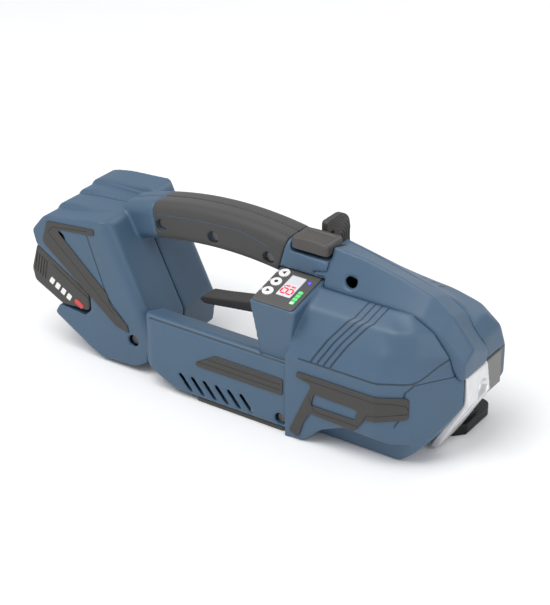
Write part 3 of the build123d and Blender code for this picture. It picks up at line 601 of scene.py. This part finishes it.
def nose_scoop(points, normals):
    """The teardrop pocket in the nose casting."""
    x, y, z = points.T
    share = np.clip((z - 24) / (51 - 24), 0, 1)
    middle = -6.5 + 14.5 * share
    below, above = np.maximum(24 - z, 0), np.maximum(z - 51, 0)
    distance = np.hypot(np.hypot(y - middle, below), above) / (2.2 + 5.0 * share)
    move = np.zeros_like(points)
    move[:, 0] = -6.0 * (1 - ramp(distance, 0.55, 1.15)) * ramp(normals[:, 0], 0.3, 0.7) * (x > 160)
    return move


def button_dish(points, normals):
    """The crown and the recessed rectangle on the thumb button."""
    x, y, z = points.T
    inside = ramp(12.5 - np.abs(x - BUTTON_X), 0, 1.2) * ramp(7.5 - np.abs(y - BUTTON_Y), 0, 1.2)
    crown = 0.8 * (1 - ((x - BUTTON_X) / 16) ** 2)
    move = np.zeros_like(points)
    move[:, 2] = (crown - 1.0 * inside) * ramp(normals[:, 2], 0.5, 0.9) * ramp(z, 138, 140)
    return move


def lever_ridges(points, normals):
    """Concentric ridges on the release lever."""
    x, y, z = points.T
    radius = np.hypot(y - KNOB_Y, z - KNOB_Z)
    wave = 0.5 * (1 + np.cos(radius * math.tau / 2.6))
    move = np.zeros_like(points)
    move[:, 0] = -0.7 * wave * np.sign(normals[:, 0]) * ramp(np.abs(normals[:, 0]), 0.5, 0.9) * (x < 58)
    return move


def keep_parting(x, y, z):
    """Where a head cover keeps its edge along the joint plane and the rear wall."""
    return ramp(np.abs(y), 1.5, 7.0) * ramp(x, 64.0, 71.0)


# ---------------------------------------------------------------------------
# Operators
# ---------------------------------------------------------------------------


class STRAPTOOL_OT_housing(bpy.types.Operator):
    """Build the two clamshell halves with the rear block and the belly"""

    bl_idname = "straptool.housing"
    bl_label = "Housing Halves"

    def execute(self, context):
        sizes = context.scene.straptool_shell
        blue = moulded("blue_housing", sizes.blue, sizes.roughness, lines=housing_lines)
        for name in ("near_housing", "far_housing"):
            shell = eased(name + "_shell", [name], sizes.voxel, sizes.rounds, carve=fan_steps)
            finish_piece(shell, blue, name)
        return {"FINISHED"}


class STRAPTOOL_OT_head(bpy.types.Operator):
    """Build the near and far head covers and the spine"""

    bl_idname = "straptool.head"
    bl_label = "Head Covers"

    def execute(self, context):
        sizes = context.scene.straptool_shell
        near = moulded("blue_near_head", sizes.blue, sizes.roughness, lines=near_head_lines)
        far = moulded("blue_far_head", sizes.blue, sizes.roughness, lines=far_head_lines)
        plain = moulded("blue_spine", sizes.blue, sizes.roughness)
        for name, material, rounds in (("near_head_cover", near, sizes.head_rounds),
                                       ("far_head_cover", far, sizes.head_rounds),
                                       ("spine_cover", plain, 2 * sizes.rounds)):
            hold = None if name == "spine_cover" else keep_parting
            cover = eased(name + "_shell", [name], 0.85 * sizes.voxel, rounds, hold=hold)
            finish_piece(cover, material, name)
        return {"FINISHED"}


class STRAPTOOL_OT_grips(bpy.types.Operator):
    """Build the two soft grip halves"""

    bl_idname = "straptool.grips"
    bl_label = "Soft Grips"

    def execute(self, context):
        sizes = context.scene.straptool_trim
        soft = moulded("soft_grip", sizes.grip, sizes.grip_roughness, grain=1.0, depth=0.07, lines=grip_lines,
                       line_colour=shade(context.scene.straptool_shell.blue, 0.8),
                       Sheen_Weight=0.15)
        for name in ("near_grip", "far_grip"):
            finish_piece(eased(name + "_skin", [name], 0.7, 6), soft, name)
        return {"FINISHED"}


class STRAPTOOL_OT_trims(bpy.types.Operator):
    """Build the black bumper, trims, accent and skid pad"""

    bl_idname = "straptool.trims"
    bl_label = "Black Trims"

    def execute(self, context):
        black = context.scene.straptool_trim.black
        for node, lines, voxel in (("side_bumper", bumper_lines, 0.4), ("near_rear_trim", trim_lines, 0.3),
                                   ("far_rear_trim", trim_lines, 0.3), ("belly_trim", accent_lines, 0.3),
                                   ("skid_pad", None, 0.6)):
            material = moulded("black_" + node, black, 0.5, lines=lines, line_depth=0.5)
            finish_piece(eased(node + "_skin", [node], voxel, 3), material, node)
        return {"FINISHED"}


def on_case(along, across, lift):
    """A point on the near face of the battery, along and across its sliding direction."""
    x, y, z = BATTERY_CORNER
    cosine, sine = math.cos(BATTERY_ANGLE), math.sin(BATTERY_ANGLE)
    return (x + along * cosine - across * sine, y - lift, z - along * sine - across * cosine)


class STRAPTOOL_OT_battery(bpy.types.Operator):
    """Build the battery case with its ribs, marks and charge bars"""

    bl_idname = "straptool.battery"
    bl_label = "Battery"

    def execute(self, context):
        trim, panel = context.scene.straptool_trim, context.scene.straptool_panel
        black = moulded("battery_black", shade(trim.black, 1.15), 0.5)
        case = eased("battery_case_skin", ["battery_case"], 0.7, 4)
        finish_piece(case, black, "battery_case")

        ribs = bar_row(black)
        blank = bpy.data.meshes.new("battery_ribs")
        start, after = Vector(on_case(5.5, 13.0, 0.1)), Vector(on_case(8.3, 13.0, 0.1))
        row = ribs.grow("battery_ribs", blank, bevel=0.4, count=5, start=start * MM,
                        step=(after - start) * MM, size=(1.3 * MM, 1.2 * MM, 17.0 * MM),
                        turn=(0.0, math.radians(12.0), 0.0))
        add_detail(row, black, "battery")
        rail = prism("battery_rail", [rectangle(20, 61, 3.6, 4.8)], on_case, -0.3, 0.6, 0.3)
        add_detail(rail, black, "battery")
        white = moulded("battery_print", panel.white, 0.5, grain=3.0, depth=0.01, painted_edge_highlight=False)
        bars = [rounded(rectangle(24 + 6.4 * k, 28.2 + 6.4 * k, 14.0, 19.6), 0.8) for k in range(4)]
        add_detail(prism("battery_bars", bars, on_case, -0.1, 0.12), white, "battery")
        red = moulded("battery_badge", (0.60, 0.045, 0.04, 1.0), 0.35, grain=3.0, depth=0.01, painted_edge_highlight=False)
        badge = rounded(rectangle(51.0, 60.0, 12.5, 17.0), 2.2)
        pill = prism("battery_pill", [badge], on_case, -0.1, 0.35, 0.15)
        add_detail(pill, red, "battery")
        return {"FINISHED"}


class STRAPTOOL_OT_levers(bpy.types.Operator):
    """Build the thumb button, the release lever and the rocker lever"""

    bl_idname = "straptool.levers"
    bl_label = "Button and Levers"

    def execute(self, context):
        black = context.scene.straptool_trim.black
        button = moulded("button_grey", shade(black, 1.6), 0.48, grain=1.8)
        cap = eased("thumb_button_cap", ["thumb_button"], 0.4, 4, carve=button_dish)
        finish_piece(cap, button, "thumb_button")
        lever = moulded("lever_black", shade(black, 1.1), 0.55)
        finish_piece(eased("release_lever_skin", ["release_lever"], 0.45, 4, carve=lever_ridges), lever,
                     "release_lever")
        finish_piece(eased("rocker_lever_skin", ["rocker_lever"], 0.6, 6), lever, "rocker_lever")
        return {"FINISHED"}


def on_panel(u, v, lift):
    """A point of the sloping control panel, in millimetres from its rear near corner."""
    x, y, z = PANEL_CORNER
    cosine, sine = math.cos(PANEL_SLOPE), math.sin(PANEL_SLOPE)
    return (x + u, y + v * cosine - lift * sine, z + v * sine + lift * cosine)


def segment_digit(u, v, height, width, stroke, lit):
    """The lit segments of one digit whose top points along +u and whose right side along -v."""
    half, gap = stroke / 2, 0.25
    mid = height / 2
    outlines = []

    def across_bar(level):
        outlines.append([(u + level, v - gap), (u + level + half, v - gap - half),
                         (u + level + half, v - width + gap + half), (u + level, v - width + gap),
                         (u + level - half, v - width + gap + half), (u + level - half, v - gap - half)])

    def upright_bar(side, low, high):
        outlines.append([(u + low + gap, v - side), (u + low + gap + half, v - side + half),
                         (u + high - gap - half, v - side + half), (u + high - gap, v - side),
                         (u + high - gap - half, v - side - half), (u + low + gap + half, v - side - half)])

    for name, level in (("a", height), ("g", mid), ("d", 0.0)):
        if name in lit:
            across_bar(level)
    for name, side, low, high in (("f", 0.0, mid, height), ("b", width, mid, height), ("e", 0.0, 0.0, mid),
                                  ("c", width, 0.0, mid)):
        if name in lit:
            upright_bar(side, low, high)
    return outlines


class STRAPTOOL_OT_panel(bpy.types.Operator):
    """Build the control panel with its membrane, keys, display, gauge and lamp"""

    bl_idname = "straptool.panel"
    bl_label = "Control Panel"

    def execute(self, context):
        sizes = context.scene.straptool_panel
        grey = moulded("panel_membrane", sizes.grey, 0.42, grain=2.4, depth=0.02, painted_edge_highlight=False)
        finish_piece(eased("panel_membrane", ["panel_overlay"], 0.35, 2), grey, "panel_overlay")
        white = moulded("key_white", sizes.white, 0.4, grain=2.4, depth=0.01, painted_edge_highlight=False)
        ink = moulded("key_print", (0.02, 0.02, 0.02, 1.0), 0.5, grain=3.0, depth=0.01, painted_edge_highlight=False)
        first, second, third = KEY_V
        signs = ([(KEY_U + 1.9, first), (KEY_U - 1.2, first - 1.8), (KEY_U - 1.2, first + 1.8)],
                 disc(KEY_U, second, 1.5),
                 [(KEY_U - 1.9, third), (KEY_U + 1.2, third + 1.8), (KEY_U + 1.2, third - 1.8)])
        for number, sign in enumerate(signs, start=1):
            name = "key_%d" % number
            finish_piece(eased(name + "_cap", [name], 0.22, 2), white, name)
            mark = prism(name + "_sign", [sign], on_panel, KEY_LIFT - 0.05, KEY_LIFT + 0.06)
            add_detail(mark, ink, name)
        glass = moulded("display_glass", (0.72, 0.72, 0.75, 1.0), 0.2, grain=4.0, depth=0.002, painted_edge_highlight=False,
                        Coat_Weight=0.6, Coat_Roughness=0.08)
        finish_piece(eased("display_window", ["display"], 0.35, 1), glass, "display")
        red = glowing("display_digits", sizes.red, 0.6)
        digits = segment_digit(15.9, 29.2, 9.4, 5.2, 1.4, "bc")
        digits += segment_digit(15.9, 21.2, 9.4, 5.4, 1.4, "abcdefg")
        digits.append(disc(15.9, 22.9, 0.7, 16))
        add_detail(prism("display_digits", digits, on_panel, 1.15, 1.27), red, "root")
        green = glowing("gauge_green", sizes.green, 0.35)
        finish_piece(eased("charge_gauge_bar", ["charge_gauge"], 0.25, 1), green, "charge_gauge")
        cap = prism("charge_gauge_cap", [rounded(rectangle(29.6, 32.2, 7.6, 9.4), 0.5)], on_panel, 1.15, 1.27)
        add_detail(cap, white, "root")
        lamp = glowing("lamp_blue", (0.10, 0.08, 0.75, 1.0), 0.8)
        finish_piece(eased("status_lamp_lens", ["status_lamp"], 0.2, 1), lamp, "status_lamp")
        ticks = [rectangle(29.0, 32.8, v, v + 0.4) for v in (11.0, 14.8, 18.6)]
        add_detail(prism("gauge_ticks", ticks, on_panel, 1.1, 1.28), ink, "root")
        prints = [rounded(rectangle(1.7, 2.3, v - 1.4, v + 1.4), 0.2) for v in KEY_V]
        add_detail(prism("panel_print", prints, on_panel, 1.15, 1.24), white, "root")
        return {"FINISHED"}


class STRAPTOOL_OT_nose(bpy.types.Operator):
    """Build the nose casting, its insert and the sole plate"""

    bl_idname = "straptool.nose"
    bl_label = "Nose and Sole"

    def execute(self, context):
        bright = metal("cast_aluminium", (0.74, 0.74, 0.75, 1.0), 0.40, stretch=(1.0, 1.0, 1.0), scale=1.2,
                       depth=0.04)
        finish_piece(eased("nose_casting", ["gear_frame"], 0.6, 3, carve=nose_scoop), bright, "gear_frame")
        grey = moulded("insert_grey", (0.17, 0.17, 0.16, 1.0), 0.5)
        finish_piece(eased("nose_insert_skin", ["nose_insert"], 0.4, 3), grey, "nose_insert")
        black = metal("blackened_steel", (0.035, 0.035, 0.036, 1.0), 0.45, stretch=(0.1, 1.0, 1.0))
        finish_piece(eased("sole_plate_skin", ["sole_plate"], 0.6, 3), black, "sole_plate")
        ribs = bar_row(black).grow("sole_ribs", bpy.data.meshes.new("sole_ribs"), bevel=0.4, count=9,
                                   start=Vector((100.0, 55.0, 9.2)) * MM, step=Vector((7.0, 0.0, 0.0)) * MM,
                                   size=(2.4 * MM, 5.0 * MM, 1.2 * MM), turn=(0.0, 0.0, 0.0))
        add_detail(ribs, black, "root")
        return {"FINISHED"}


class STRAPTOOL_OT_screws(bpy.types.Operator):
    """Build the socket heads of the housing screws"""

    bl_idname = "straptool.screws"
    bl_label = "Screws"

    def execute(self, context):
        steel = metal("screw_steel", (0.03, 0.03, 0.032, 1.0), 0.45)
        places = [(-157.5, -38.5, 97), (-88, -38.5, 27), (56, -48.5, 10.5), (-78.5, -11.5, 118),
                  (-29.5, -11.5, 121), (20.5, -11.5, 118)]
        mesh = bpy.data.meshes.new("screw_places")
        mesh.from_pydata([Vector(place) * MM for place in places], [], [])
        heads = screw_set(steel).grow("screw_heads", mesh, bevel=0.25, head_radius=3.5 * MM,
                                      head_height=3.0 * MM, socket_radius=1.7 * MM)
        add_detail(heads, steel, "root")
        return {"FINISHED"}


class STRAPTOOL_OT_drive(bpy.types.Operator):
    """Dress the motor, gears, strap feed and the other pieces that keep their plain form"""

    bl_idname = "straptool.drive"
    bl_label = "Drive Parts"

    def execute(self, context):
        black = context.scene.straptool_trim.black
        finishes = {
            "black_plastic": lambda: moulded("cad_black", black, 0.5, painted_edge_highlight=False),
            "board_green": lambda: moulded("board_green", (0.02, 0.13, 0.05, 1.0), 0.3, painted_edge_highlight=False),
            "cell_wrap": lambda: moulded("cell_wrap", (0.05, 0.16, 0.38, 1.0), 0.3, painted_edge_highlight=False),
            "belt_rubber": lambda: moulded("belt_rubber", (0.025, 0.025, 0.025, 1.0), 0.75, painted_edge_highlight=False),
            "motor_steel": lambda: metal("motor_steel", (0.50, 0.50, 0.48, 1.0), 0.35),
            "gear_steel": lambda: metal("gear_steel", (0.56, 0.55, 0.53, 1.0), 0.3),
            "cast_aluminium": lambda: metal("cad_aluminium", (0.66, 0.66, 0.67, 1.0), 0.42),
            "screw_steel": lambda: metal("cad_screws", (0.12, 0.12, 0.125, 1.0), 0.4),
        }
        made = {}
        for name, node in frame["nodes"].items():
            if node.hide_render:
                continue
            slot = SLOTS[name]
            if slot not in made:
                made[slot] = finishes.get(slot, finishes["black_plastic"])()
            node.data.materials.clear()
            node.data.materials.append(made[slot])
        return {"FINISHED"}


class STRAPTOOL_OT_stage(bpy.types.Operator):
    """Build the floor, the soft lights and the camera"""

    bl_idname = "straptool.stage"
    bl_label = "Stage"

    def execute(self, context):
        sizes = context.scene.straptool_stage
        mesh = bpy.data.meshes.new("floor")
        mesh.from_pydata([(-4, -4, 0), (4, -4, 0), (4, 4, 0), (-4, 4, 0)], [], [(0, 1, 2, 3)])
        floor = new_piece("floor", mesh)
        finish = Finish("floor_paper")
        grain = finish.noise(0.02, 3.0)
        finish.set(Base_Color=finish.mix(grain, shade(sizes.floor, 0.99), shade(sizes.floor, 1.01)),
                   Roughness=grain * 0.1 + 0.75)
        mesh.materials.append(finish.material)

        world = bpy.data.worlds.new("even_light")
        context.scene.world = world
        world.use_nodes = True
        sky = world.node_tree.nodes["Background"]
        sky.inputs["Color"].default_value = (0.97, 0.98, 1.0, 1.0)
        sky.inputs["Strength"].default_value = sizes.world
        aim = Vector((0.02, 0.0, 0.06))
        for name, place, width, power in (
                ("key_light", (-0.35, -0.75, 1.65), 1.3, sizes.key_power),
                ("side_light", (1.7, -0.5, 1.0), 1.0, sizes.key_power * 0.30),
                ("back_light", (0.2, 1.5, 1.3), 1.2, sizes.key_power * 0.30)):
            lamp = bpy.data.lights.new(name, "AREA")
            lamp.energy, lamp.size = power, width
            holder = bpy.data.objects.new(name, lamp)
            holder.location = place
            holder.rotation_euler = (aim - holder.location).to_track_quat("-Z", "Y").to_euler()
            context.scene.collection.objects.link(holder)
        lens = bpy.data.cameras.new("camera")
        lens.lens, lens.sensor_width = 107.1, 36.0
        lens.clip_start, lens.clip_end = 0.05, 20.0
        camera = bpy.data.objects.new("camera", lens)
        camera.location = (0.6890, -0.9914, 0.7044)
        target = Vector((0.0153, 0.0, 0.0724))
        camera.rotation_euler = (target - camera.location).to_track_quat("-Z", "Y").to_euler()
        context.scene.collection.objects.link(camera)
        context.scene.camera = camera
        context.scene.view_settings.view_transform = "Standard"
        return {"FINISHED"}


class STRAPTOOL_PT_sidebar(bpy.types.Panel):
    bl_label = "Strapping Tool"
    bl_idname = "STRAPTOOL_PT_sidebar"
    bl_space_type = "VIEW_3D"
    bl_region_type = "UI"
    bl_category = "Strapping Tool"

    def draw(self, context):
        for group in ("shell", "trim", "panel", "stage"):
            settings = getattr(context.scene, "straptool_" + group)
            for name in settings.__annotations__:
                self.layout.prop(settings, name)
        for operator in OPERATORS:
            self.layout.operator(operator.bl_idname)


GROUPS = {"shell": StrapToolShellSettings, "trim": StrapToolTrimSettings, "panel": StrapToolPanelSettings,
          "stage": StrapToolStageSettings}
OPERATORS = (STRAPTOOL_OT_housing, STRAPTOOL_OT_head, STRAPTOOL_OT_grips, STRAPTOOL_OT_trims,
             STRAPTOOL_OT_battery, STRAPTOOL_OT_levers, STRAPTOOL_OT_panel, STRAPTOOL_OT_nose,
             STRAPTOOL_OT_screws, STRAPTOOL_OT_drive, STRAPTOOL_OT_stage)


def register():
    for name, group in GROUPS.items():
        bpy.utils.register_class(group)
        setattr(bpy.types.Scene, "straptool_" + name, bpy.props.PointerProperty(type=group))
    for operator in OPERATORS:
        bpy.utils.register_class(operator)
    bpy.utils.register_class(STRAPTOOL_PT_sidebar)


def unregister():
    bpy.utils.unregister_class(STRAPTOOL_PT_sidebar)
    for operator in reversed(OPERATORS):
        bpy.utils.unregister_class(operator)
    for name, group in GROUPS.items():
        delattr(bpy.types.Scene, "straptool_" + name)
        bpy.utils.unregister_class(group)


def main():
    register()
    bpy.ops.straptool.housing()
    bpy.ops.straptool.head()
    bpy.ops.straptool.grips()
    bpy.ops.straptool.trims()
    bpy.ops.straptool.battery()
    bpy.ops.straptool.levers()
    bpy.ops.straptool.panel()
    bpy.ops.straptool.nose()
    bpy.ops.straptool.screws()
    bpy.ops.straptool.drive()
    bpy.ops.straptool.stage()


if __name__ == "__main__":
    main()
